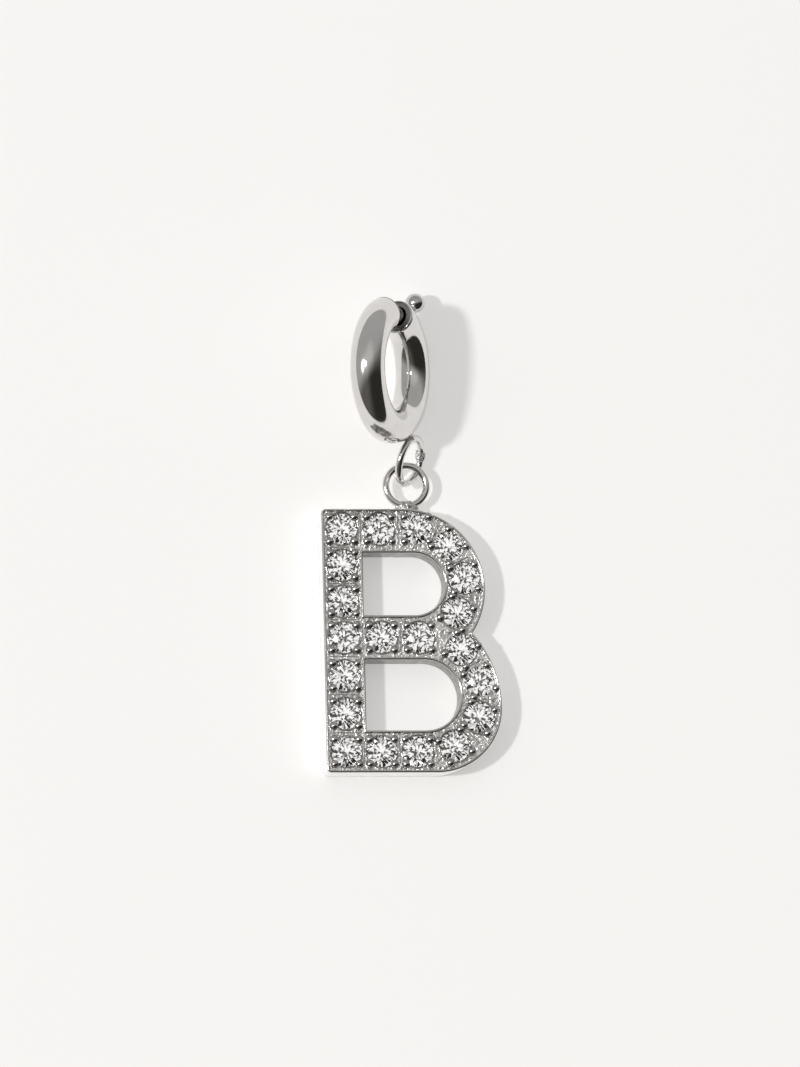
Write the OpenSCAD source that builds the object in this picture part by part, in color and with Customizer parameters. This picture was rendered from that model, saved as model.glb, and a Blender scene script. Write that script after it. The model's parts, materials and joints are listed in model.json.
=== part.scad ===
// Initial pendant: a letter B set with round stones, hung from a spring ring by two soldered rings.
// Sizes are in millimetres. The pendant lies face up, +Y runs from the letter to the spring ring.

/* [Letter] */
// height of the letter, which its stones and strokes scale with
letter_h = 16.2; // [14:0.1:20]
// thickness of the letter from its back to its rim
letter_t = 1.7; // [1.6:0.1:2.4]
// radius of the stem's two outer corners
corner_r = 0.3; // [0.2:0.05:0.4]
// width of the letter as a share of its height
width_share = 0.668; // [0.66:0.002:0.69]
// width of the stem as a share of the letter's height
stem_share = 0.1543; // [0.152:0.0005:0.16]
// outer radius of the upper bowl as a share of the letter's height
upper_share = 0.3031; // [0.301:0.0005:0.308]
// outer radius of the lower bowl below its widest point as a share of the letter's height
lower_share = 0.25; // [0.247:0.001:0.253]
// outer radius of the lower bowl above its widest point as a share of the letter's height
waist_share = 0.423; // [0.42:0.001:0.43]
// how far the upper bowl stands back from the lower one as a share of the letter's height
setback_share = 0.0538; // [0.05:0.0005:0.057]
// radius of the upper counter's round end as a share of the letter's height
upper_hole_share = 0.1176; // [0.115:0.0002:0.1184]
// radius of the lower counter's round end as a share of the letter's height
lower_hole_share = 0.1333; // [0.13:0.0005:0.1345]
// height of the upper counter's middle as a share of the letter's height
upper_hole_up = 0.7142; // [0.713:0.0002:0.716]
// height of the lower counter's middle as a share of the letter's height
lower_hole_up = 0.2938; // [0.2925:0.0005:0.295]
// width of the upper bowl's stroke at its widest point as a share of the letter's height
upper_stroke_share = 0.1524; // [0.15:0.0005:0.156]
// width of the lower bowl's stroke at its widest point as a share of the letter's height
lower_stroke_share = 0.1569; // [0.154:0.0005:0.16]

/* [Stones] */
// diameter of a stone at its girdle as a share of the letter's height
stone_share = 0.1173; // [0.111:0.0005:0.1203]
// width of the table as a share of the stone's diameter
table_share = 0.56; // [0.5:0.01:0.62]
// height of the crown as a share of the stone's diameter
crown_share = 0.15; // [0.12:0.01:0.17]
// depth of the pavilion as a share of the stone's diameter
pavilion_share = 0.43; // [0.4:0.01:0.45]
// how far out the star facets reach as a share of the stone's radius
star_share = 0.8; // [0.76:0.01:0.82]
// how far out the pavilion mains' points stand as a share of the stone's radius
main_share = 0.26; // [0.2:0.01:0.32]
// height of the girdle's upright band
girdle_h = 0.05; // [0.03:0.01:0.08]

/* [Setting] */
// width of the polished rim that runs round every edge
rim_w = 0.17; // [0.12:0.01:0.19]
// depth of the set floor below the rim
floor_d = 0.14; // [0.08:0.02:0.2]
// play between a stone and its seat
seat_play = 0.03; // [0.02:0.01:0.04]
// radius of a bead that holds a stone
bead_r = 0.19; // [0.16:0.01:0.2]
// how far a bead reaches over the edge of its stone
bead_bite = 0.07; // [0.04:0.01:0.09]
// height of a bead above the set floor
bead_h = 0.26; // [0.22:0.01:0.32]
// width of the graver cuts between the stones
cut_w = 0.08; // [0.05:0.01:0.1]
// depth of the graver cuts
cut_d = 0.07; // [0.04:0.01:0.1]
// depth of a stone's girdle below the set floor
sink = 0.02; // [0:0.01:0.05]

/* [Letter ring] */
// radius of the letter ring's wire centre line
loop_r = 1.24; // [1.2:0.02:1.3]
// wire diameter of the letter ring
loop_wire = 0.43; // [0.4:0.01:0.5]
// distance of the letter ring from the letter's left edge as a share of the letter's width
loop_share = 0.4935; // [0.47:0.005:0.52]
// height of the letter ring's wire above the letter's back
loop_z = 0.95; // [0.9:0.01:1]
// gap between the letter ring's wire and the letter, filled with solder
loop_gap = 0.065; // [0.02:0.005:0.1]

/* [Link ring] */
// radius of the link ring's wire centre line
link_r = 1.41; // [1.38:0.01:1.44]
// wire diameter of the link ring
link_wire = 0.45; // [0.4:0.01:0.5]
// step to the right from the letter ring's middle to the link ring's
link_side = 0.2; // [0.1:0.02:0.26]
// step up from the letter ring's middle to the link ring's
link_up = 1.43; // [1.4:0.01:1.46]
// lean of the link ring's plane from the surface it lies on
link_lean = 60.5; // [59:0.5:62]
// turn of the link ring to the pendant's length
link_turn = -21.7; // [-23:0.1:-20]
// radius of the solder neck between the link ring and the spring ring
solder_r = 0.3; // [0.27:0.01:0.33]
// depth of the solder neck in the spring ring's tube
solder_bite = 0.25; // [0.2:0.01:0.3]
// angle round the ring from its lowest point to the solder neck
solder_a = 300; // [298:0.5:302]
// angle round the tube from its outermost line to the solder neck
solder_rise = 25; // [20:1:28]

/* [Spring ring] */
// radius of the ring's tube centre line
ring_r = 3.44; // [3.41:0.01:3.47]
// diameter of the ring's tube
tube_d = 2.1; // [2.08:0.01:2.12]
// gap between the link ring's and the spring ring's outlines, along the line between their middles
ring_gap = 0.04; // [0.02:0.005:0.06]
// direction from the link ring's middle to the spring ring's, from the letter's foot line
ring_way = 105.5; // [105.1:0.1:105.9]
// lean of the ring's plane from the surface it lies on
ring_lean = 58.8; // [58:0.1:59.6]
// turn of the ring to the pendant's length
ring_turn = -3.7; // [-5:0.1:-2.4]
// angle from the ring's lowest point to the mouth that the bolt leaves
mouth_a = 81; // [79:0.5:83]
// angle that the opening spans
opening_a = 28.5; // [27:0.5:30]
// play all round the bolt in the tube
bolt_play = 0.08; // [0.05:0.01:0.1]
// spare bore behind the open bolt and beyond the closed one's tip, as an angle
spare_a = 3; // [2:0.5:4]
// spare slot on both sides of the trigger's stem, as an angle
slot_spare_a = 1.2; // [1:0.1:1.5]

/* [Spring bolt] */
// diameter of the bolt
bolt_d = 1.12; // [1:0.02:1.16]
// angle by which the bolt's tip sits inside the closed ring
tip_a = 4; // [3:0.5:5]
// angle from the ring's lowest point to the trigger
trigger_a = 55; // [53.5:0.5:56.5]
// radius of the trigger's ball
ball_r = 0.6; // [0.5:0.02:0.64]
// gap between the trigger's ball and the tube
ball_gap = 0.67; // [0.6:0.01:0.74]
// diameter of the trigger's stem
stem_d = 0.56; // [0.5:0.02:0.64]
// length of bolt behind the trigger, as an angle
tail_a = 8.5; // [7:0.5:10]
// how far back the open bolt's tip stands from the mouth, as an angle
clear_a = 1; // [0.5:0.5:1.5]

/* [Resting] */
// gap between the rings and the surface that the pendant lies on
rest_gap = 0.02; // [0.01:0.01:0.04]

/* [Hidden] */
$fn = 72;

silver = [0.86, 0.86, 0.87];
steel = [0.6, 0.6, 0.62];
clear = [0.93, 0.95, 0.97];

// sizes that follow the letter's height
letter_w = letter_h * width_share;
stem_w = letter_h * stem_share;
upper_r = letter_h * upper_share;
lower_r = letter_h * lower_share;
waist_r = letter_h * waist_share;
upper_hole_r = letter_h * upper_hole_share;
lower_hole_r = letter_h * lower_hole_share;
stone_d = letter_h * stone_share;

// middles of the bowls' outlines and of the counters' round ends
upper_x = letter_w - letter_h * setback_share - upper_r;
upper_y = letter_h - upper_r;
lower_x = letter_w - lower_r;
waist_x = letter_w - waist_r;
upper_hole_x = upper_x + upper_r - letter_h * upper_stroke_share - upper_hole_r;
upper_hole_y = letter_h * upper_hole_up;
lower_hole_x = letter_w - letter_h * lower_stroke_share - lower_hole_r;
lower_hole_y = letter_h * lower_hole_up;

// heights in the letter
floor_z = letter_t - floor_d;
girdle_z = floor_z - sink;
stone_r = stone_d / 2;
seat_r = stone_r + seat_play;
table_r = stone_r * table_share;
crown_h = stone_d * crown_share;
pavilion_h = stone_d * pavilion_share;
bead_at = stone_r + bead_r - bead_bite;

// middles and radii of the bowls' bands of metal
upper_mid = [(upper_x + upper_hole_x) / 2, (upper_y + upper_hole_y) / 2];
lower_mid = [(lower_x + lower_hole_x) / 2, (lower_r + lower_hole_y) / 2];
upper_band_r = (upper_r + upper_hole_r) / 2;
lower_band_r = (lower_r + lower_hole_r) / 2;

// rows of stones in the straight strokes
row_top = letter_h * 0.9233;
row_mid = (upper_hole_y - upper_hole_r + lower_hole_y + lower_hole_r) / 2;
row_low = (lower_hole_y - lower_hole_r) / 2;
column = stem_w / 2;

// stones in the strokes beside the stem: row, distance from the left edge as a share of the width
top_stones = [[row_top, 0.327], [row_top, 0.539]];
low_stones = [[row_low, 0.5175], [row_low, 0.315]];
mid_stones = [[row_mid, 0.327], [row_mid, 0.539]];

// bowl stones: middle of the bowl, radius of its band, angle round it, share of that radius
bowl_stones = [
    [upper_mid, upper_band_r, 45, 1.0235],
    [upper_mid, upper_band_r, 8.5, 1],
    [upper_mid, upper_band_r, -29.5, 0.9735],
    [lower_mid, lower_band_r, 58, 1.193],
    [lower_mid, lower_band_r, 21.5, 1.0545],
    [lower_mid, lower_band_r, -19, 1.0065],
    [lower_mid, lower_band_r, -62.5, 1.0065]];

// where a stone of a row and a stone of a bowl stand: x, y, turn of its beads
function in_row(s) = [letter_w * s[1], s[0], 0];
function in_bowl(s) = [s[0][0] + s[1] * s[3] * cos(s[2]), s[0][1] + s[1] * s[3] * sin(s[2]), s[2]];

// every stone: x, y, turn of its beads
stones = concat(
    [for (i = [0:3]) [column, row_low + (row_mid - row_low) * i / 3, 0]],
    [for (i = [1:3]) [column, row_mid + (row_top - row_mid) * i / 3, 0]],
    [for (s = top_stones) in_row(s)],
    [for (s = bowl_stones) in_bowl(s)],
    [for (s = low_stones) in_row(s)],
    [for (s = mid_stones) in_row(s)]);

// graver cuts: first stone, second stone
cuts = [
    [0, 1], [1, 2], [2, 3], [3, 4], [4, 5], [5, 6], [6, 7], [7, 8], [8, 9], [9, 10], [10, 11],
    [11, 12], [12, 13], [13, 14], [14, 15], [15, 16], [16, 17], [17, 0], [3, 18], [18, 19]];

// places of the letter ring and the link ring
loop_x = letter_w * loop_share;
loop_y = letter_h + loop_gap + loop_wire / 2 + loop_r;
link_x = loop_x + link_side;
link_y = loop_y + link_up;
link_z = link_r * sin(link_lean) + link_wire / 2 + rest_gap;

// the spring ring's place, with its outline against the link ring's
tube_r = tube_d / 2;
bolt_r = bolt_d / 2;
bore_r = bolt_r + bolt_play;
ring_z = ring_r * sin(ring_lean) + tube_r + rest_gap;
ring_reach = ring_r + tube_r + link_r + ring_gap;
ring_plan = sqrt(pow(ring_reach, 2) - pow(ring_z - link_z, 2));
ring_x = link_x + ring_plan * cos(ring_way);
ring_y = link_y + ring_plan * sin(ring_way);

// angles and radii round the spring ring
far_a = mouth_a + opening_a;
travel_a = opening_a + tip_a + clear_a;
ball_at = ring_r + tube_r + ball_gap + ball_r;
stem_half_a = asin((stem_d / 2 + bolt_play) / (ring_r + tube_r));

// a closed ring of round wire; start turns its section, which moves the seam of its surface
module ring(r, wire, start = 0) {
    rotate_extrude() translate([r, 0]) rotate(start) circle(wire / 2);
}

module bend(r, section_r, from_a, to_a, start = 0) {
    rotate([0, 0, from_a])
        rotate_extrude(angle = to_a - from_a) translate([r, 0]) rotate(start) circle(section_r);
}

// the middle of the letter's back is the origin
module in_frame() {
    translate([-letter_w / 2, -letter_h / 2, 0]) children();
}

module in_ring() {
    translate([ring_x, ring_y, ring_z]) rotate([0, ring_lean, ring_turn]) children();
}

// the letter's outline, drawn in by a margin
module outline(in = 0) {
    r = corner_r - min(in, corner_r / 2);
    translate([in + r, in]) square([upper_x - in - r, letter_h - 2 * in]);
    translate([in, in + r]) square([upper_x - in, letter_h - 2 * in - 2 * r]);
    for (y = [in + r, letter_h - in - r]) translate([in + r, y]) circle(r);
    translate([upper_x, upper_y]) circle(upper_r - in);
    translate([column, in]) square([lower_x - column, lower_r - in]);
    translate([lower_x, lower_r]) circle(lower_r - in);
    intersection() {
        translate([waist_x, lower_r]) circle(waist_r - in);
        translate([upper_x, lower_r]) square([letter_w, waist_r]);
    }
}

// one counter, grown by a margin
module counter(x, y, r, out = 0) {
    translate([x, y]) circle(r + out);
    translate([stem_w - out, y - r - out]) square([x - stem_w + out, 2 * (r + out)]);
}

module counters(out = 0) {
    counter(upper_hole_x, upper_hole_y, upper_hole_r, out);
    counter(lower_hole_x, lower_hole_y, lower_hole_r, out);
}

// the space that a stone and its play take up
module seat() {
    rotate_extrude() polygon([
        [0, girdle_z - girdle_h - pavilion_h - 2 * seat_play],
        [seat_r, girdle_z - girdle_h - seat_play],
        [seat_r, girdle_z + seat_play],
        [table_r + seat_play, girdle_z + crown_h + seat_play],
        [0, girdle_z + crown_h + seat_play]]);
}

module beads() {
    for (a = [45:90:315]) rotate([0, 0, a]) translate([bead_at, 0, 0]) {
        translate([0, 0, floor_z - floor_d]) cylinder(r = bead_r, h = bead_h - bead_r + floor_d);
        translate([0, 0, floor_z + bead_h - bead_r]) sphere(bead_r);
    }
}

module graver_cut(a, b) {
    middle = (a + b) / 2;
    translate([middle[0], middle[1], floor_z]) rotate([0, 0, atan2(b[1] - a[1], b[0] - a[0])])
        cube([cut_w, stone_d, 2 * cut_d], center = true);
}

// solder that fills the corner between the letter and its ring
module loop_foot() {
    foot_w = loop_wire * 3.1;
    top_w = loop_wire * 1.6;
    foot_t = loop_wire * 1.2;
    reach = loop_gap + loop_wire;
    translate([loop_x, letter_h, loop_z - foot_t / 2]) linear_extrude(foot_t) polygon([
        [-foot_w / 2, -rim_w], [foot_w / 2, -rim_w], [top_w / 2, reach], [-top_w / 2, reach]]);
}

module letter() {
    color(silver) in_frame() difference() {
        union() {
            linear_extrude(letter_t) difference() {
                outline();
                counters();
            }
            translate([loop_x, loop_y, loop_z]) ring(loop_r, loop_wire);
            loop_foot();
        }
        translate([0, 0, floor_z]) difference() {
            linear_extrude(letter_t) difference() {
                outline(rim_w);
                counters(rim_w);
            }
            translate([0, 0, -floor_z]) for (s = stones)
                translate([s[0], s[1], 0]) rotate([0, 0, s[2]]) beads();
        }
        for (s = stones) translate([s[0], s[1], 0]) seat();
        for (c = cuts) graver_cut([stones[c[0]][0], stones[c[0]][1]],
            [stones[c[1]][0], stones[c[1]][1]]);
    }
}

// the hollow ring, its mouth and slot, and the link ring soldered under it, with seams inside
module spring_ring() {
    color(silver) in_frame() {
        in_ring() difference() {
            bend(ring_r, tube_r, far_a, 360 + mouth_a, 180);
            bend(ring_r, bore_r, trigger_a - tail_a - travel_a - spare_a, mouth_a + spare_a, 180);
            bend(ring_r, bore_r, far_a - spare_a, far_a + tip_a + spare_a, 180);
            slot_from = trigger_a - travel_a - stem_half_a - slot_spare_a;
            slot_to = trigger_a + stem_half_a + slot_spare_a;
            rotate([0, 0, slot_from]) rotate_extrude(angle = slot_to - slot_from)
                translate([ring_r, -stem_d / 2 - bolt_play])
                    square([tube_d, stem_d + 2 * bolt_play]);
        }
        translate([link_x, link_y, link_z]) rotate([0, link_lean, link_turn])
            ring(link_r, link_wire, 180);
        in_ring() rotate([0, 0, solder_a]) translate([ring_r, 0, 0]) rotate([0, 90 - solder_rise, 0])
            translate([0, 0, tube_r - solder_bite])
                cylinder(r = solder_r, h = solder_bite + link_wire * 0.45);
    }
}

// the curved bolt that closes the ring, with its trigger
module spring_bolt() {
    color(steel) in_frame() in_ring() {
        bend(ring_r, bolt_r, trigger_a - tail_a, far_a + tip_a);
        rotate([0, 0, trigger_a]) {
            translate([ring_r, 0, 0]) rotate([0, 90, 0])
                cylinder(r = stem_d / 2, h = ball_at - ring_r);
            translate([ball_at, 0, 0]) sphere(ball_r);
        }
    }
}

// a round brilliant: table, stars, bezels, girdle, pavilion
module brilliant() {
    step = 360 / 8;
    star_r = stone_r * star_share;
    slope = crown_h / (stone_r - table_r);
    star_z = crown_h - slope * (star_r * cos(step / 2) - table_r);
    main_r = stone_r * main_share;
    main_z = -girdle_h - pavilion_h * (1 - main_share * cos(step / 2));
    function at(r, a, z) = [r * cos(a), r * sin(a), z];
    table = [for (k = [0:7]) at(table_r, step * k, crown_h)];
    star = [for (k = [0:7]) at(star_r, step * (k + 0.5), star_z)];
    top = [for (k = [0:15]) at(stone_r, step / 2 * k, 0)];
    low = [for (k = [0:15]) at(stone_r, step / 2 * k, -girdle_h)];
    main = [for (k = [0:7]) at(main_r, step * (k + 0.5), main_z)];
    culet = [[0, 0, -girdle_h - pavilion_h]];
    // first index of each group of points: table 0, star 8, top 16, low 32, main 48, culet 56
    polyhedron(concat(table, star, top, low, main, culet), concat(
        [[for (k = [7:-1:0]) k]],
        [for (k = [0:7]) [k, (k + 1) % 8, 8 + k]],
        [for (k = [0:7]) [k, 8 + k, 16 + 2 * k, 8 + (k + 7) % 8]],
        [for (k = [0:7]) [8 + k, 17 + 2 * k, 16 + 2 * k]],
        [for (k = [0:7]) [8 + k, 16 + (2 * k + 2) % 16, 17 + 2 * k]],
        [for (k = [0:15]) [16 + k, 16 + (k + 1) % 16, 32 + (k + 1) % 16, 32 + k]],
        [for (k = [0:7]) [48 + k, 32 + 2 * k, 33 + 2 * k]],
        [for (k = [0:7]) [48 + k, 33 + 2 * k, 32 + (2 * k + 2) % 16]],
        [for (k = [0:7]) [56, 48 + (k + 7) % 8, 32 + 2 * k, 48 + k]]));
}

module stone(i) {
    color(clear) in_frame() translate([stones[i][0], stones[i][1], girdle_z])
        rotate([0, 0, stones[i][2] + 11 * i]) brilliant();
}

letter();
spring_ring();
spring_bolt();
stone(0);  // stone_01
stone(1);  // stone_02
stone(2);  // stone_03
stone(3);  // stone_04
stone(4);  // stone_05
stone(5);  // stone_06
stone(6);  // stone_07
stone(7);  // stone_08
stone(8);  // stone_09
stone(9);  // stone_10
stone(10);  // stone_11
stone(11);  // stone_12
stone(12);  // stone_13
stone(13);  // stone_14
stone(14);  // stone_15
stone(15);  // stone_16
stone(16);  // stone_17
stone(17);  // stone_18
stone(18);  // stone_19
stone(19);  // stone_20
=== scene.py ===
"""Initial pendant: the letter B set with round stones, its two rings and its spring ring."""
import json
import math

import bmesh
import bpy
import numpy as np
from mathutils import Matrix, Vector, noise

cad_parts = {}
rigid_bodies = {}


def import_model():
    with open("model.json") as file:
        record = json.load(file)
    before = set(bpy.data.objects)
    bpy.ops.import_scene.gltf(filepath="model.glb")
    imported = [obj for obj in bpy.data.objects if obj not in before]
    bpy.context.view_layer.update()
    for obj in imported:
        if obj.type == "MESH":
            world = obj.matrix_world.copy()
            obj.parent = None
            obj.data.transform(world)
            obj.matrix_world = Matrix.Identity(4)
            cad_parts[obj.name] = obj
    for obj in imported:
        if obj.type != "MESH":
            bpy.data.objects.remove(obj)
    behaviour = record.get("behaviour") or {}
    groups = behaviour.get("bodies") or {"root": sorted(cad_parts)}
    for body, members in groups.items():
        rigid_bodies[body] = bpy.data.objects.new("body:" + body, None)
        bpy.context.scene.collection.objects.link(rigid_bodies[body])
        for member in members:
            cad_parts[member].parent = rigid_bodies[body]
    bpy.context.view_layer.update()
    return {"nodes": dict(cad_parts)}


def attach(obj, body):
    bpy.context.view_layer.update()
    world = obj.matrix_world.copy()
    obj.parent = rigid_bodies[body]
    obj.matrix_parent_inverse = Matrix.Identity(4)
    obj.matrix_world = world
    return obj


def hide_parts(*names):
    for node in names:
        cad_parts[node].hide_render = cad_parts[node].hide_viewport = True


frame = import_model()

MM = 0.001
WARM_WHITE = (1, 0.981, 0.964)

# edges that turn by more than this many degrees stay sharp
SHARP_A, BOLT_SHARP_A, ALL_SMOOTH = 38, 50, 180

# the letter, in mm from the left end of its foot line; its middle is the frame's origin
LETTER_H = 16.2
LETTER_W = LETTER_H * 0.668
LETTER_T = 1.7
STEM_W = LETTER_H * 0.1543
CORNER_R, HOLE_CORNER_R = 0.3, 0.07
UPPER_R, LOWER_R, WAIST_R = LETTER_H * 0.3031, LETTER_H * 0.25, LETTER_H * 0.423
UPPER_X, UPPER_Y = LETTER_W - LETTER_H * 0.0538 - UPPER_R, LETTER_H - UPPER_R
LOWER_X, WAIST_X = LETTER_W - LOWER_R, LETTER_W - WAIST_R
UPPER_HOLE_R, LOWER_HOLE_R = LETTER_H * 0.1176, LETTER_H * 0.1333
UPPER_HOLE = (UPPER_X + UPPER_R - LETTER_H * 0.1524 - UPPER_HOLE_R, LETTER_H * 0.7142,
              UPPER_HOLE_R)
LOWER_HOLE = (LETTER_W - LETTER_H * 0.1569 - LOWER_HOLE_R, LETTER_H * 0.2938, LOWER_HOLE_R)
HOLES = (UPPER_HOLE, LOWER_HOLE)

# the setting
STONE_R = LETTER_H * 0.1173 / 2
RIM_W = 0.17
FLOOR_Z = LETTER_T - 0.14
GIRDLE_Z = FLOOR_Z - 0.02
SEAT_R = STONE_R + 0.03
SEAT_END_Z = 0.62
SEAT_CLEAR = 0.05

# the bright ridge round a seat: share of its width, rise above the set floor
RIDGE_W, RIDGE_CLEAR = 0.085, 0.012
RIDGE = [(1, 0), (0.72, 0.022), (0.5, 0.03), (0.28, 0.022), (0.1, 0.002), (0, -0.03)]

# beads, flattened a little, and graver cuts with their shortest and longest half
BEAD_R, BEAD_FLAT = 0.27, 0.92
BEAD_AT = STONE_R + 0.12
BEAD_TOP_Z = FLOOR_Z + 0.29
CUT_W, CUT_D = 0.06, 0.045
CUT_LEAST, CUT_MOST, CUT_STEP, CUT_CLEAR = 0.2, 0.86, 0.03, 0.09

# radii of the back edge, drawn in so many steps, and of the rim's outer and inner edges
BACK_EASE, BACK_STEPS = 0.06, 4
TOP_EASE, LIP_EASE = 0.1, 0.07

# the letter's finishes, in the order that its mesh has them
POLISHED, SUNK, COUNTER, SIDE_WALL = range(4)

# the rings
LOOP_R, LOOP_WIRE, LOOP_X, LOOP_Z = 1.24, 0.43, LETTER_W * 0.4935, 0.95
LOOP_Y = LETTER_H + 0.065 + LOOP_WIRE / 2 + LOOP_R
LINK_R, LINK_WIRE, LINK_LEAN, LINK_TURN = 1.41, 0.45, 60.5, -21.7
LINK = Vector((LOOP_X + 0.2, LOOP_Y + 1.43, 1.4722))
LINK_JOIN_A, LINK_JOIN_R = 35, LINK_R - 0.09
RING_R, TUBE_R, RING_LEAN, RING_TURN = 3.44, 1.05, 58.8, -3.7
RING = Vector((4.10554, 24.32414, 4.01245))
BOLT_R, BORE_R = 0.56, 0.64
MOUTH_A, FAR_A, TRIGGER_A = 81, 109.5, 55
BORE_FROM_A, BORE_END_A = 10, 116.5
SLOT_HALF = 0.36
SLOT_FROM_A, SLOT_TO_A = 15.7, 60.8
SOLDER_A, SOLDER_RISE = 300, 25
BALL_R, BALL_AT, STEM_R, STEM_FOOT_R = 0.6, 5.76, 0.28, 0.34

# degrees of the bolt behind the trigger and past the far mouth
TAIL_A, TIP_A = 8.5, 4

# mesh cells across the slot, and along the bore from its mouth to the slot
SLOT_CELLS, MOUTH_CELLS = 6, 7

# radii of the rounded ends of tube and bolt and of the bore's mouths; degrees left for an end
END_EASE, BORE_EASE, END_A = 0.1, 0.05, 3

# the photo's height and scale, and the camera's directions, 12.5 degrees off the vertical
PHOTO_H, PX_PER_MM = 1067, 16.5
TARGET = Vector((-0.515, 6.679, 1.0)) * MM
ACROSS, UPWARD = Vector((0.9901, -0.0233, 0.1380)), Vector((0, 0.98595, 0.16663))
TO_CAMERA = ACROSS.cross(UPWARD).normalized()
CAMERA_AWAY, SENSOR = 1.5, 36
FLOOR_HALF = 6


# Shader trees.

class Level:
    """A value in a shader tree; each operator adds the Math node that works it out."""

    def __init__(self, tree, socket):
        self.tree, self.socket = tree, socket

    def joined(self, operation, first, second):
        node = self.tree.node("ShaderNodeMath", {"operation": operation}, {0: first, 1: second})
        return Level(self.tree, node.outputs[0])

    def __add__(self, other):
        return self.joined("ADD", self, other)

    def __sub__(self, other):
        return self.joined("SUBTRACT", self, other)

    def __rsub__(self, other):
        return self.joined("SUBTRACT", other, self)

    def __mul__(self, other):
        return self.joined("MULTIPLY", self, other)

    __radd__ = __add__


class Nodes:
    """The nodes of a tree and the links between them."""

    def __init__(self, tree):
        self.nodes, self.links = tree.nodes, tree.links

    def node(self, kind, settings=None, inputs=None):
        """A new node; an input takes a value or another node's output."""
        node = self.nodes.new(kind)
        for name, value in (settings or {}).items():
            setattr(node, name, value)
        for name, value in (inputs or {}).items():
            if isinstance(value, Level):
                value = value.socket
            if isinstance(value, bpy.types.NodeSocket):
                self.links.new(value, node.inputs[name])
            else:
                node.inputs[name].default_value = value
        return node


class Tree(Nodes):
    """The shader tree of one material or of the world."""

    def __init__(self, tree):
        super().__init__(tree)
        self.nodes.clear()

    def level(self, kind, output, settings=None, inputs=None):
        return Level(self, self.node(kind, settings, inputs).outputs[output])

    def noise(self, place, size, detail=2.0, stretch=None):
        """A cloudy pattern whose marks are size metres across."""
        if stretch:
            place = self.node("ShaderNodeMapping", None, {
                "Vector": place, "Scale": stretch}).outputs[0]
        return self.level("ShaderNodeTexNoise", "Fac", None, {
            "Vector": place, "Scale": 1 / size, "Detail": detail})

    def between(self, value, low, high, to_low, to_high):
        """Value eased from one range into another."""
        return self.level("ShaderNodeMapRange", "Result", {"interpolation_type": "SMOOTHSTEP"}, {
            "Value": value, "From Min": low, "From Max": high, "To Min": to_low, "To Max": to_high})


def finish_of(name):
    """A new material and its empty tree."""
    material = bpy.data.materials.new(name)
    material.use_nodes = True
    return material, Tree(material.node_tree)


def metal(name, colour, shade, roughness, spread, mark, depth, streaks=0.0):
    """A metal finish: its roughness spreads and its surface waves over marks of a real size."""
    material, tree = finish_of(name)
    place = tree.node("ShaderNodeTexCoord").outputs["Object"]
    cloud = tree.noise(place, mark * 4, 3)
    grain = tree.noise(place, mark, 4)
    rub = tree.noise(place, mark, 2, stretch=(1, 0.08, 0.6))
    height = grain + rub * streaks
    bump = tree.node("ShaderNodeBump", None, {
        "Strength": 1.0, "Distance": depth, "Height": height})
    tint = tree.node("ShaderNodeMix", {"data_type": "RGBA"}, {
        "Factor": tree.between(cloud, 0.35, 0.65, 0, 1),
        "A": (*colour, 1), "B": (*[c * shade for c in colour], 1)})
    shader = tree.node("ShaderNodeBsdfPrincipled", None, {
        "Base Color": tint.outputs["Result"], "Metallic": 1.0,
        "Roughness": tree.between(cloud + rub * 0.4, 0.5, 0.9, roughness, roughness + spread),
        "Normal": bump.outputs[0]})
    tree.node("ShaderNodeOutputMaterial", None, {"Surface": shader.outputs[0]})
    return material


def clear_stone():
    """Clear faceted stone, a little smeared."""
    material, tree = finish_of("clear_stone")
    place = tree.node("ShaderNodeTexCoord").outputs["Object"]
    smear = tree.noise(place, 0.0006, 2)
    shader = tree.node("ShaderNodeBsdfPrincipled", None, {
        "Base Color": (1, 1, 1, 1), "IOR": 2.16, "Transmission Weight": 1.0,
        "Roughness": tree.between(smear, 0.45, 0.8, 0.0, 0.03)})
    tree.node("ShaderNodeOutputMaterial", None, {"Surface": shader.outputs[0]})
    return material


def pale_floor():
    """A matt floor, lifted by a glow of its own so that shadows stay as pale as in the photo."""
    material, tree = finish_of("pale_floor")
    place = tree.node("ShaderNodeTexCoord").outputs["Object"]
    shader = tree.node("ShaderNodeBsdfPrincipled", None, {
        "Base Color": (0.80, 0.80, 0.80, 1), "Specular IOR Level": 0.0,
        "Roughness": tree.between(tree.noise(place, 0.004), 0.3, 0.7, 0.8, 0.9),
        "Emission Color": (*WARM_WHITE, 1), "Emission Strength": 0.425})
    tree.node("ShaderNodeOutputMaterial", None, {"Surface": shader.outputs[0]})
    return material


SILVER = metal("polished_silver", (0.735, 0.728, 0.715), shade=0.95, roughness=0.075,
               spread=0.06, mark=0.00025, depth=0.0000003, streaks=0.5)
# the outer side walls: the same silver made brighter, a painted reflection of light
SIDE = metal("side_wall_silver_painted_light", (0.95, 0.945, 0.935), shade=0.96, roughness=0.09,
             spread=0.08, mark=0.0002, depth=0.000001, streaks=0.5)
SET_FLOOR = metal("set_floor_silver", (0.90, 0.89, 0.88), shade=0.7, roughness=0.14,
                  spread=0.16, mark=0.00026, depth=0.00009, streaks=0.3)
# the counter walls: rough silver whose dark colour is painted shade
ROUGH_WALL_PAINTED_SHADE = metal("rough_counter_wall_painted_shade", (0.27, 0.265, 0.26), shade=0.88, roughness=0.24,
                  spread=0.12, mark=0.0001, depth=0.000003, streaks=0.6)
# the bore and the mouths' end faces: the same silver darkened, painted shade
BORE_PAINTED_SHADE = metal("bore_silver_painted_shade", (0.34, 0.335, 0.33), shade=0.8, roughness=0.24,
                  spread=0.1, mark=0.0001, depth=0.000002, streaks=0.5)
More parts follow.
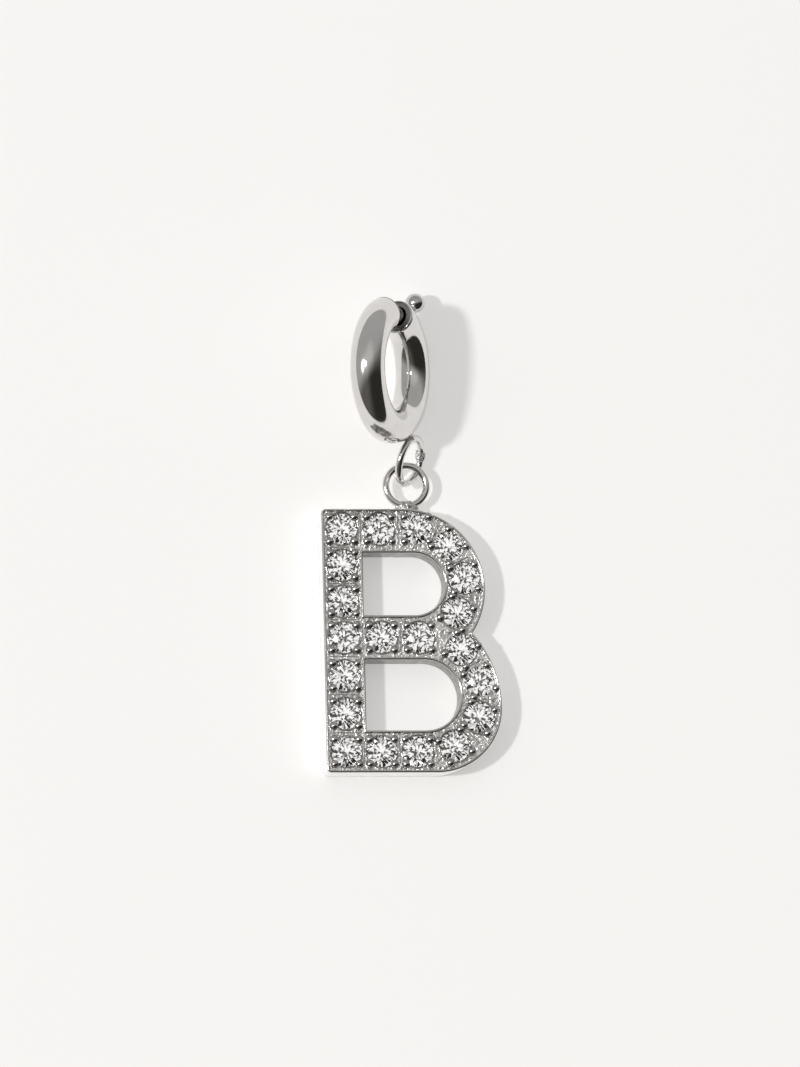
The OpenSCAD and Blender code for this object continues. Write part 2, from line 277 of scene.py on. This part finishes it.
# the beads: the same silver a little darker, painted shade
BEAD = metal("bead_silver_painted_shade", (0.62, 0.615, 0.61), shade=0.8, roughness=0.10,
             spread=0.08, mark=0.00012, depth=0.000002)
SOLDER = metal("rough_solder", (0.74, 0.73, 0.72), shade=0.7, roughness=0.20,
               spread=0.2, mark=0.00006, depth=0.000012)
BOLT_STEEL = metal("bolt_steel", (0.66, 0.655, 0.65), shade=0.9, roughness=0.08,
                   spread=0.08, mark=0.0002, depth=0.0000008, streaks=0.5)
STONE = clear_stone()


# Meshes.

def piece(name, bm, materials, angle=SHARP_A):
    """A mesh drawn in mm becomes an object in metres, smooth but for edges sharper than angle."""
    mesh = bpy.data.meshes.new(name)
    bm.to_mesh(mesh)
    bm.free()
    mesh.transform(Matrix.Scale(MM, 4) @ Matrix.Translation((-LETTER_W / 2, -LETTER_H / 2, 0)))
    return dressed(name, mesh, materials, angle)


def dressed(name, mesh, materials, angle):
    """The mesh with its finishes, as an object in the scene."""
    mesh.name = name
    for material in materials:
        mesh.materials.append(material)
    mesh.shade_smooth()
    mesh.set_sharp_from_angle(angle=math.radians(angle))
    made = bpy.data.objects.new(name, mesh)
    bpy.context.scene.collection.objects.link(made)
    return made


def fit(made, body, node):
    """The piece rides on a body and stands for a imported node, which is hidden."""
    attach(made, body)
    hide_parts(node)


def arc(middle, radius, from_a, to_a, steps):
    """Points along an arc, both ends included."""
    turns = np.radians(np.linspace(from_a, to_a, steps + 1))
    return [(middle[0] + radius * math.cos(a), middle[1] + radius * math.sin(a)) for a in turns]


def notch(inset):
    """Where the lower bowl meets the upper one on an outline drawn in by inset."""
    lower, upper = WAIST_R - inset, UPPER_R - inset
    apart = Vector((UPPER_X - WAIST_X, UPPER_Y - LOWER_R))
    along = (lower ** 2 - upper ** 2 + apart.length ** 2) / (2 * apart.length)
    side = math.sqrt(lower ** 2 - along ** 2)
    way = apart.normalized()
    return Vector((WAIST_X, LOWER_R)) + way * along + Vector((way.y, -way.x)) * side


def letter_edge(inset):
    """The outline of the letter drawn in by inset, anticlockwise from the left end of its foot."""
    r = CORNER_R - min(inset, CORNER_R / 2)
    meet = notch(inset)
    waist_a = math.degrees(math.atan2(meet.y - LOWER_R, meet.x - WAIST_X))
    upper_a = math.degrees(math.atan2(meet.y - UPPER_Y, meet.x - UPPER_X))
    return (arc((inset + r, inset + r), r, 180, 270, 8)
            + arc((LOWER_X, LOWER_R), LOWER_R - inset, -90, 0, 48)
            + arc((WAIST_X, LOWER_R), WAIST_R - inset, 0, waist_a, 24)[1:]
            + arc((UPPER_X, UPPER_Y), UPPER_R - inset, upper_a, 90, 60)[1:]
            + arc((inset + r, LETTER_H - inset - r), r, 90, 180, 8))


def hole_edge(hole, out):
    """The outline of a counter grown by out, clockwise."""
    x, y, r = hole
    left, f = STEM_W - out, HOLE_CORNER_R
    return (arc((left + f, y - r - out + f), f, -90, -180, 4)
            + arc((left + f, y + r + out - f), f, 180, 90, 4)
            + arc((x, y), r + out, 90, -90, 56))


def ring_at(bm, edge, z):
    return [bm.verts.new((x, y, z)) for x, y in edge]


def quads(bm, rows, skip=None, finish=0):
    """Faces between rows of as many points, each row a closed loop."""
    for i, (low, high) in enumerate(zip(rows, rows[1:])):
        for k in range(len(low)):
            n = (k + 1) % len(low)
            if skip and skip(i, k):
                continue
            bm.faces.new((low[k], low[n], high[n], high[k])).material_index = finish


def loop_edges(bm, loop):
    """The edges of a closed loop, made where they are missing."""
    return [bm.edges.get((loop[i], loop[(i + 1) % len(loop)]))
            or bm.edges.new((loop[i], loop[(i + 1) % len(loop)])) for i in range(len(loop))]


def stone_places():
    """Every stone's middle and the turn of its beads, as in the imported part."""
    column = STEM_W / 2
    top, low = LETTER_H * 0.9233, (LOWER_HOLE[1] - LOWER_HOLE_R) / 2
    mid = (UPPER_HOLE[1] - UPPER_HOLE_R + LOWER_HOLE[1] + LOWER_HOLE_R) / 2
    upper, lower = (
        ((bowl_x + hole[0]) / 2, (bowl_y + hole[1]) / 2, (bowl_r + hole[2]) / 2)
        for bowl_x, bowl_y, bowl_r, hole in ((UPPER_X, UPPER_Y, UPPER_R, UPPER_HOLE),
                                             (LOWER_X, LOWER_R, LOWER_R, LOWER_HOLE)))
    bowls = [  # bowl, angle round it, share of its band's radius
        (upper, 45, 1.0235), (upper, 8.5, 1), (upper, -29.5, 0.9735),
        (lower, 58, 1.193), (lower, 21.5, 1.0545), (lower, -19, 1.0065), (lower, -62.5, 1.0065)]
    places = [(column, low + (mid - low) * i / 3, 0) for i in range(4)]
    places += [(column, mid + (top - mid) * i / 3, 0) for i in (1, 2, 3)]
    places += [(LETTER_W * share, top, 0) for share in (0.327, 0.539)]
    for (x, y, band), turn, share in bowls:
        a = math.radians(turn)
        places.append((x + band * share * math.cos(a), y + band * share * math.sin(a), turn))
    places += [(LETTER_W * share, low, 0) for share in (0.5175, 0.315)]
    return places + [(LETTER_W * share, mid, 0) for share in (0.327, 0.539)]


STONES = stone_places()
CUTS = [(i, i + 1) for i in range(17)] + [(17, 0), (3, 18), (18, 19)]
EDGES = np.array([p for loop in [letter_edge(0)] + [hole_edge(h, 0) for h in HOLES]
                  for a, b in zip(loop, loop[1:] + loop[:1])
                  for p in np.linspace(a, b, max(2, int(math.dist(a, b) / 0.05)))])


def margin(x, y):
    """Distance from a point to the nearest edge of the letter."""
    return float(np.hypot(EDGES[:, 0] - x, EDGES[:, 1] - y).min())


def cut_line(first, second):
    """Both ends of the graver cut between two stones, short of the rim."""
    a, b = Vector(STONES[first][:2]), Vector(STONES[second][:2])
    middle, across = (a + b) / 2, Vector((a.y - b.y, b.x - a.x)).normalized()
    ends = []
    for way in (-1, 1):
        reach = CUT_LEAST
        while (reach < CUT_MOST
               and margin(*(middle + across * way * (reach + CUT_STEP))) > RIM_W + CUT_CLEAR):
            reach += CUT_STEP
        ends.append(middle + across * way * reach)
    return ends


def letter_setting():
    """The letter: walls, rim, sunk floor, seats and graver cuts, as one closed skin."""
    bm = bmesh.new()
    profile = (arc((BACK_EASE, BACK_EASE), BACK_EASE, 270, 180, BACK_STEPS)
               + arc((TOP_EASE, LETTER_T - TOP_EASE), TOP_EASE, 180, 90, 5)
               + arc((RIM_W - LIP_EASE, LETTER_T - LIP_EASE), LIP_EASE, 90, 0, 4)
               + [(RIM_W, FLOOR_Z)])
    floor_edges, back_edges = [], []
    for edge in [letter_edge] + [lambda out, h=hole: hole_edge(h, out) for hole in HOLES]:
        loops = [ring_at(bm, edge(inset), z) for inset, z in profile]
        for k, (low, high) in enumerate(zip(loops, loops[1:])):
            # counter walls take the dark painted shade, outer walls the bright painted reflection
            upright = SIDE_WALL if edge is letter_edge else COUNTER
            quads(bm, (low, high), finish=POLISHED if k > BACK_STEPS else upright)
        back_edges += loop_edges(bm, loops[0])
        floor_edges += loop_edges(bm, loops[-1])
    for x, y, _ in STONES:
        room_out = margin(x, y) - RIM_W
        hole = min(SEAT_R - 0.005, room_out - SEAT_CLEAR)
        apart = min(math.dist((x, y), other[:2]) for other in STONES if other[:2] != (x, y))
        ridge = min(RIDGE_W, room_out - hole - RIDGE_CLEAR,
                    apart / 2 - CUT_W / 2 - hole - RIDGE_CLEAR)
        steps = [(hole + ridge * share, FLOOR_Z + rise) for share, rise in RIDGE]
        steps += [(SEAT_R, GIRDLE_Z - 0.05), (SEAT_R, GIRDLE_Z - 0.08), (0.02, SEAT_END_Z)]
        loops = [ring_at(bm, arc((x, y), r, 0, 360, 72)[:-1], z) for r, z in steps]
        for k, (low, high) in enumerate(zip(loops, loops[1:])):
            quads(bm, (low, high), finish=POLISHED if k < len(RIDGE) - 1 else SUNK)
        bm.faces.new(loops[-1])
        floor_edges += loop_edges(bm, loops[0])
    for pair in CUTS:
        low_end, high_end = cut_line(*pair)
        way = (high_end - low_end).normalized()
        side = Vector((-way.y, way.x)) * CUT_W / 2
        corners = [low_end - side, high_end - side, high_end + side, low_end + side]
        top_loop = [bm.verts.new((p.x, p.y, FLOOR_Z)) for p in corners]
        ends = [bm.verts.new((*(p + way * s * CUT_D), FLOOR_Z - CUT_D))
                for p, s in ((low_end, 1), (high_end, -1))]
        for face in ((top_loop[0], top_loop[1], ends[1], ends[0]),
                     (top_loop[2], top_loop[3], ends[0], ends[1]),
                     (top_loop[1], top_loop[2], ends[1]), (top_loop[3], top_loop[0], ends[0])):
            bm.faces.new(face)
        floor_edges += loop_edges(bm, top_loop)
    for edges, finish in ((floor_edges, SUNK), (back_edges, POLISHED)):
        for item in bmesh.ops.triangle_fill(bm, use_beauty=True, edges=edges)["geom"]:
            if isinstance(item, bmesh.types.BMFace):
                item.material_index = finish
    bmesh.ops.recalc_face_normals(bm, faces=bm.faces)
    return piece("letter_setting", bm, [SILVER, SET_FLOOR, ROUGH_WALL_PAINTED_SHADE, SIDE])


# Geometry Nodes.

class Maker(Nodes):
    """A geometry tree with named inputs, applied to a mesh and turned into a plain one."""

    def __init__(self, name, inputs):
        self.group = bpy.data.node_groups.new(name, "GeometryNodeTree")
        super().__init__(self.group)
        face = self.group.interface
        face.new_socket("Geometry", in_out="INPUT", socket_type="NodeSocketGeometry")
        self.ids = {}
        for label, value in inputs.items():
            kind = "NodeSocketInt" if isinstance(value, int) else "NodeSocketFloat"
            self.ids[label] = face.new_socket(label, in_out="INPUT", socket_type=kind).identifier
        face.new_socket("Geometry", in_out="OUTPUT", socket_type="NodeSocketGeometry")
        self.values = inputs
        self.given = self.node("NodeGroupInput").outputs

    def end(self, geometry, material):
        real = self.node("GeometryNodeRealizeInstances", None, {"Geometry": geometry})
        smooth = self.node("GeometryNodeSetShadeSmooth", None, {"Geometry": real.outputs[0]})
        dress = self.node("GeometryNodeSetMaterial", None, {
            "Geometry": smooth.outputs[0], "Material": material})
        self.node("NodeGroupOutput", None, {"Geometry": dress.outputs[0]})

    def mesh(self, points=()):
        """The tree's result on a mesh of loose points."""
        seed = bpy.data.meshes.new("points")
        seed.from_pydata([tuple(p) for p in points], [], [])
        holder = bpy.data.objects.new("holder", seed)
        bpy.context.scene.collection.objects.link(holder)
        change = holder.modifiers.new("make", "NODES")
        change.node_group = self.group
        for label, key in self.ids.items():
            change[key] = self.values[label]
        ready = holder.evaluated_get(bpy.context.evaluated_depsgraph_get())
        made = bpy.data.meshes.new_from_object(ready)
        bpy.data.objects.remove(holder)
        return made


def bead_grains():
    """Four beads at each stone, raised from the floor and pushed over the stone's edge."""
    maker = Maker("bead_grains", {
        "Radius": BEAD_R * MM, "Height": BEAD_FLAT, "Least": 0.9, "Most": 1.08, "Seed": 7})
    given = maker.given
    ball = maker.node("GeometryNodeMeshUVSphere", None, {
        "Segments": 28, "Rings": 14, "Radius": given["Radius"]})
    flat = maker.node("ShaderNodeCombineXYZ", None, {0: 1.0, 1: 1.0, 2: given["Height"]})
    grain = maker.node("GeometryNodeTransform", None, {
        "Geometry": ball.outputs[0], "Scale": flat.outputs[0]})
    size = maker.node("FunctionNodeRandomValue", {"data_type": "FLOAT"}, {
        2: given["Least"], 3: given["Most"], "Seed": given["Seed"]})
    tilt = maker.node("FunctionNodeRandomValue", {"data_type": "FLOAT_VECTOR"}, {
        0: (-0.2, -0.2, 0), 1: (0.2, 0.2, 3.1), "Seed": given["Seed"]})
    spread = maker.node("GeometryNodeInstanceOnPoints", None, {
        "Points": given["Geometry"], "Instance": grain.outputs[0],
        "Rotation": tilt.outputs[0], "Scale": size.outputs[1]})
    maker.end(spread.outputs[0], BEAD)
    points = []
    for x, y, turn in STONES:
        for a in (45, 135, 225, 315):
            t = math.radians(a + turn)
            px, py = x + BEAD_AT * math.cos(t), y + BEAD_AT * math.sin(t)
            if margin(px, py) > RIM_W:
                points.append(((px - LETTER_W / 2) * MM, (py - LETTER_H / 2) * MM,
                               (BEAD_TOP_Z - BEAD_R * BEAD_FLAT) * MM))
    mesh = maker.mesh(points)
    mesh.materials.clear()
    return dressed("letter_beads", mesh, [BEAD], ALL_SMOOTH)


def wire_ring(name, radius, wire, place, finish):
    """A ring of round wire, bent by hand, with its plane turned to where it hangs."""
    maker = Maker(name + "_wire", {
        "Radius": radius * MM, "Wire": wire / 2 * MM, "Bend": 0.015 * MM, "Steps": 200})
    given = maker.given
    path = maker.node("GeometryNodeCurvePrimitiveCircle", None, {
        "Resolution": given["Steps"], "Radius": given["Radius"]})
    spot = maker.node("GeometryNodeInputPosition")
    cloud = maker.node("ShaderNodeTexNoise", None, {
        "Vector": spot.outputs[0], "Scale": 900.0, "Detail": 0.0})
    centred = maker.node("ShaderNodeVectorMath", {"operation": "SUBTRACT"}, {
        0: cloud.outputs["Color"], 1: (0.5, 0.5, 0.5)})
    shift = maker.node("ShaderNodeVectorMath", {"operation": "SCALE"}, {
        0: centred.outputs[0], "Scale": given["Bend"]})
    bent = maker.node("GeometryNodeSetPosition", None, {
        "Geometry": path.outputs[0], "Offset": shift.outputs[0]})
    section = maker.node("GeometryNodeCurvePrimitiveCircle", None, {
        "Resolution": 40, "Radius": given["Wire"]})
    tube = maker.node("GeometryNodeCurveToMesh", None, {
        "Curve": bent.outputs[0], "Profile Curve": section.outputs[0]})
    maker.end(tube.outputs[0], finish)
    mesh = maker.mesh([(0, 0, 0)])
    mesh.materials.clear()
    mesh.transform(Matrix.Translation(Vector((-LETTER_W / 2, -LETTER_H / 2, 0)) * MM)
                   @ Matrix.Scale(MM, 4) @ place @ Matrix.Scale(1 / MM, 4))
    return dressed(name, mesh, [finish], ALL_SMOOTH)


def leaning(middle, lean, turn):
    """The place of a ring that leans about its own y and is turned about the vertical."""
    return (Matrix.Translation(middle) @ Matrix.Rotation(math.radians(turn), 4, "Z")
            @ Matrix.Rotation(math.radians(lean), 4, "Y"))


IN_RING = leaning(RING, RING_LEAN, RING_TURN)


# The spring ring.

def tube_point(around, out, round_a, radius):
    """A point of the tube: angle round the ring, radius and angle round the tube."""
    a, b = math.radians(around), math.radians(round_a)
    reach = out + radius * math.cos(b)
    return IN_RING @ Vector((reach * math.cos(a), reach * math.sin(a), radius * math.sin(b)))


def ring_skin(bm, stations, turns):
    """Rows of points round the tube, one row a station of angle and radius."""
    return [[bm.verts.new(tube_point(a, RING_R, t, r)) for t in turns] for a, r in stations]


def spring_tube():
    """The hollow tube: outer skin, rounded lips, bore, and the slot that the trigger runs in."""
    bm = bmesh.new()
    outer_half = math.degrees(math.asin(SLOT_HALF / TUBE_R))
    inner_half = math.degrees(math.asin(SLOT_HALF / BORE_R))

    def turns(half):
        across_slot = list(np.linspace(-half, half, SLOT_CELLS + 1))
        return across_slot + list(np.linspace(half, 360 - half, 85))[1:-1]

    step = math.degrees(1 / RING_R)
    rise = [(END_EASE * (1 - math.sin(t)) * step, TUBE_R - END_EASE * (1 - math.cos(t)))
            for t in np.radians(np.linspace(90, 0, 6))]
    fall = [(BORE_EASE * (1 - math.sin(t)) * step, BORE_R + BORE_EASE * (1 - math.cos(t)))
            for t in np.radians(np.linspace(0, 90, 5))]
    body = list(np.arange(FAR_A + END_A, 360 + SLOT_FROM_A, 1.5))
    slot = list(np.linspace(360 + SLOT_FROM_A, 360 + SLOT_TO_A, 30))
    after = list(np.linspace(360 + SLOT_TO_A, 360 + MOUTH_A - END_A, 10))[1:]
    stations = [(FAR_A + d, r) for d, r in reversed(rise)]
    stations += [(a, TUBE_R) for a in body + slot + after]
    stations += [(360 + MOUTH_A - d, r) for d, r in rise]
    rows = ring_skin(bm, stations, turns(outer_half))
    first = len(rise) + len(body)
    last = first + len(slot) - 1
    quads(bm, rows, lambda i, k: first <= i < last and k < SLOT_CELLS)

    def bore(end_a, way, back_a, slotted):
        """The bore from a mouth to its blind end, in the darker finish that is painted shade."""
        lips = [(end_a - way * d, r) for d, r in reversed(fall)]
        if slotted:
            inner = list(np.linspace(360 + MOUTH_A - 2.5, 360 + SLOT_TO_A, MOUTH_CELLS + 1))
            inner += list(reversed(slot))[1:] + [back_a]
        else:
            inner = list(np.linspace(end_a - way * 2, back_a, 6))
        made = ring_skin(bm, lips + [(a, BORE_R) for a in inner], turns(inner_half))
        start = len(lips) + MOUTH_CELLS  # the row where the slot begins
        end = start + len(slot) - 1
        skip = (lambda i, k: start <= i < end and k < SLOT_CELLS) if slotted else None
        quads(bm, made, skip, finish=1)
        bm.faces.new(made[-1]).material_index = 1
        return made, start

    near, start = bore(360 + MOUTH_A, 1, 360 + BORE_FROM_A, True)
    far, _ = bore(FAR_A, -1, BORE_END_A, False)
    # the end faces of both mouths take the bore's painted shade too
    quads(bm, [rows[-1], near[0]], finish=1)
    quads(bm, [rows[0], far[0]], finish=1)
    low_in, high_in = near[start + len(slot) - 1], near[start]
    for k in (0, SLOT_CELLS):
        for i in range(len(slot) - 1):
            bm.faces.new((rows[first + i][k], rows[first + i + 1][k],
                          near[start + len(slot) - 2 - i][k], near[start + len(slot) - 1 - i][k]))
    for k in range(SLOT_CELLS):
        bm.faces.new((rows[first][k], rows[first][k + 1], low_in[k + 1], low_in[k]))
        bm.faces.new((rows[last][k], rows[last][k + 1], high_in[k + 1], high_in[k]))
    bmesh.ops.recalc_face_normals(bm, faces=bm.faces)
    return piece("spring_ring_tube", bm, [SILVER, BORE_PAINTED_SHADE])


def lathed(bm, profile, place, steps=64):
    """A closed shape turned round its own z, from a pole to a pole."""
    poles = [bm.verts.new(place @ Vector((0, 0, profile[i][1]))) for i in (0, -1)]
    loops = [[bm.verts.new(place @ Vector((r * math.cos(t), r * math.sin(t), z)))
              for t in np.linspace(0, 2 * math.pi, steps + 1)[:-1]] for r, z in profile[1:-1]]
    quads(bm, loops)
    for k in range(steps):
        n = (k + 1) % steps
        bm.faces.new((poles[0], loops[0][n], loops[0][k]))
        bm.faces.new((poles[1], loops[-1][k], loops[-1][n]))


def bolt_and_trigger():
    """The curved bolt with rounded ends, and the stem and ball that a nail pulls back."""
    bm = bmesh.new()
    step = math.degrees(1 / RING_R)
    ends = [(END_EASE * (1 - math.sin(t)) * step, BOLT_R - END_EASE * (1 - math.cos(t)))
            for t in np.radians(np.linspace(90, 0, 6))]
    low, high = TRIGGER_A - TAIL_A, FAR_A + TIP_A
    stations = [(low + d, r) for d, r in reversed(ends)]
    stations += [(a, BOLT_R) for a in np.linspace(low + END_A, high - END_A, 50)]
    stations += [(high - d, r) for d, r in ends]
    rows = ring_skin(bm, stations, list(np.linspace(0, 360, 61))[:-1])
    quads(bm, rows)
    bm.faces.new(rows[0])
    bm.faces.new(rows[-1])
    join = BALL_AT - math.sqrt(BALL_R ** 2 - STEM_FOOT_R ** 2)
    profile = [(0, RING_R), (STEM_R, RING_R), (STEM_R, join - 0.1),
               (STEM_R + 0.015, join - 0.05), (STEM_FOOT_R, join)]
    start = math.degrees(math.asin(STEM_FOOT_R / BALL_R))
    profile += [(BALL_R * math.sin(t), BALL_AT - BALL_R * math.cos(t))
                for t in np.radians(np.linspace(start + 4, 180, 30))]
    place = (IN_RING @ Matrix.Rotation(math.radians(TRIGGER_A), 4, "Z")
             @ Matrix.Rotation(math.pi / 2, 4, "Y"))
    lathed(bm, profile, place)
    bmesh.ops.recalc_face_normals(bm, faces=bm.faces)
    return piece("bolt_and_trigger", bm, [BOLT_STEEL], BOLT_SHARP_A)


def lump(name, middle, size, rough, grain):
    """A lump of solder: a ball squashed to size, with a rough skin of a given grain."""
    bm = bmesh.new()
    bmesh.ops.create_icosphere(bm, subdivisions=5, radius=1)
    for vert in bm.verts:
        way = vert.co.copy()
        crust = noise.noise(way * grain) + 0.5 * noise.noise(way * grain * 2.3 + Vector((5, 1, 3)))
        vert.co = way * (1 + rough * crust)
        vert.co = middle + Vector([vert.co[i] * size[i] for i in range(3)])
    return piece(name, bm, [SOLDER], ALL_SMOOTH)


letter = letter_setting()
beads = bead_grains()
in_loop = leaning(Vector((LOOP_X, LOOP_Y, LOOP_Z)), 0, 0)
in_link = leaning(LINK, LINK_LEAN, LINK_TURN)
letter_ring = wire_ring("letter_ring", LOOP_R, LOOP_WIRE, in_loop, SILVER)
link_ring = wire_ring("link_ring", LINK_R, LINK_WIRE, in_link, SILVER)
tube = spring_tube()
bolt = bolt_and_trigger()
letter_solder = lump("letter_solder", Vector((LOOP_X, LETTER_H + 0.17, LOOP_Z)),
                     size=(0.66, 0.4, 0.33), rough=0.2, grain=3.5)
solder_spot = tube_point(SOLDER_A, RING_R, SOLDER_RISE, TUBE_R + 0.02)
link_solder = lump("link_solder", solder_spot, size=(0.36, 0.27, 0.3), rough=0.14, grain=3.0)
join_a = math.radians(LINK_JOIN_A)
join_spot = in_link @ Vector((LINK_JOIN_R * math.cos(join_a), LINK_JOIN_R * math.sin(join_a), 0))
link_join = lump("link_join", join_spot, size=(0.29, 0.42, 0.28), rough=0.24, grain=4.0)

for made in (letter, beads, letter_ring, letter_solder):
    fit(made, "pendant", "letter")
for made in (tube, link_ring, link_solder, link_join):
    fit(made, "pendant", "spring_ring")
fit(bolt, "bolt", "spring_bolt")
for name, node in frame["nodes"].items():
    if name.startswith("stone_"):
        node.data.materials.clear()
        node.data.materials.append(STONE)


# Floor, light and camera.

floor_mesh = bpy.data.meshes.new("floor")
corners = [(x * FLOOR_HALF, y * FLOOR_HALF, 0) for x, y in ((-1, -1), (1, -1), (1, 1), (-1, 1))]
floor_mesh.from_pydata(corners, [], [(0, 1, 2, 3)])
floor_mesh.materials.append(pale_floor())
floor = bpy.data.objects.new("floor", floor_mesh)
bpy.context.scene.collection.objects.link(floor)


def room():
    """A studio: pale to the north, paler high up, dim to the west and dark to the south. Light that
    passes through a stone meets many small lamps instead, which give the stones their sparkle."""
    world = bpy.data.worlds.new("room")
    world.use_nodes = True
    bpy.context.scene.world = world
    tree = Tree(world.node_tree)
    way = tree.node("ShaderNodeTexCoord").outputs["Generated"]
    parts = tree.node("ShaderNodeSeparateXYZ", None, {"Vector": way})
    x, y, z = (Level(tree, parts.outputs[axis]) for axis in "XYZ")
    north = tree.between(y - x * 0.35, -0.4, 0.12, 0.0, 1.0)
    west = tree.between(x, -0.4, 0.3, 1.0, 0.0)
    high = tree.between(z, 0.75, 1.0, 0.0, 1.0)
    walls = 0.03 + north * (0.40 + high * 0.16) + west * (1 - north) * 0.09
    lamps = tree.between(tree.noise(way, 0.2, 1.0), 0.43, 0.55, 0.02, 1.2)
    through = tree.level("ShaderNodeLightPath", "Is Transmission Ray")
    light = walls + through * (lamps - walls)
    warm = tree.node("ShaderNodeMix", {"data_type": "RGBA"}, {
        "Factor": tree.between(light, 0.04, 0.3, 0.0, 1.0),
        "A": (1, 0.93, 0.8, 1), "B": (*WARM_WHITE, 1)})
    shine = tree.node("ShaderNodeBackground", None, {
        "Color": warm.outputs["Result"], "Strength": light})
    tree.node("ShaderNodeOutputWorld", None, {"Surface": shine.outputs[0]})


def lamp(name, way, distance, size, power):
    """An oval light aimed at the pendant's middle from a direction."""
    data = bpy.data.lights.new(name, "AREA")
    data.shape, data.energy, data.color = "ELLIPSE", power, WARM_WHITE
    data.size, data.size_y = size
    light = bpy.data.objects.new(name, data)
    bpy.context.scene.collection.objects.link(light)
    way = Vector(way).normalized()
    light.location = TARGET + way * distance
    light.rotation_euler = way.to_track_quat("Z", "Y").to_euler()
    return light


room()
lamp("key_light", way=(-0.86, -0.08, 1.0), distance=1.5, size=(0.1, 0.1), power=9.6)
glow = lamp("key_glow", way=(-0.6, 0.04, 1.0), distance=1.6, size=(0.2, 0.8), power=7)
# the glow lights no floor and no stone from inside: it shows in reflections alone
glow.visible_diffuse = glow.visible_transmission = False

view = bpy.data.cameras.new("camera")
camera = bpy.data.objects.new("camera", view)
bpy.context.scene.collection.objects.link(camera)
view.sensor_fit, view.sensor_height = "VERTICAL", SENSOR
view.lens = SENSOR * CAMERA_AWAY / (PHOTO_H / PX_PER_MM * MM)
view.clip_start, view.clip_end = 0.05, 50
turned = Matrix((ACROSS, UPWARD, TO_CAMERA)).transposed().to_4x4()
camera.matrix_world = Matrix.Translation(TARGET + TO_CAMERA * CAMERA_AWAY) @ turned
bpy.context.scene.camera = camera
bpy.context.scene.view_settings.view_transform = "Standard"
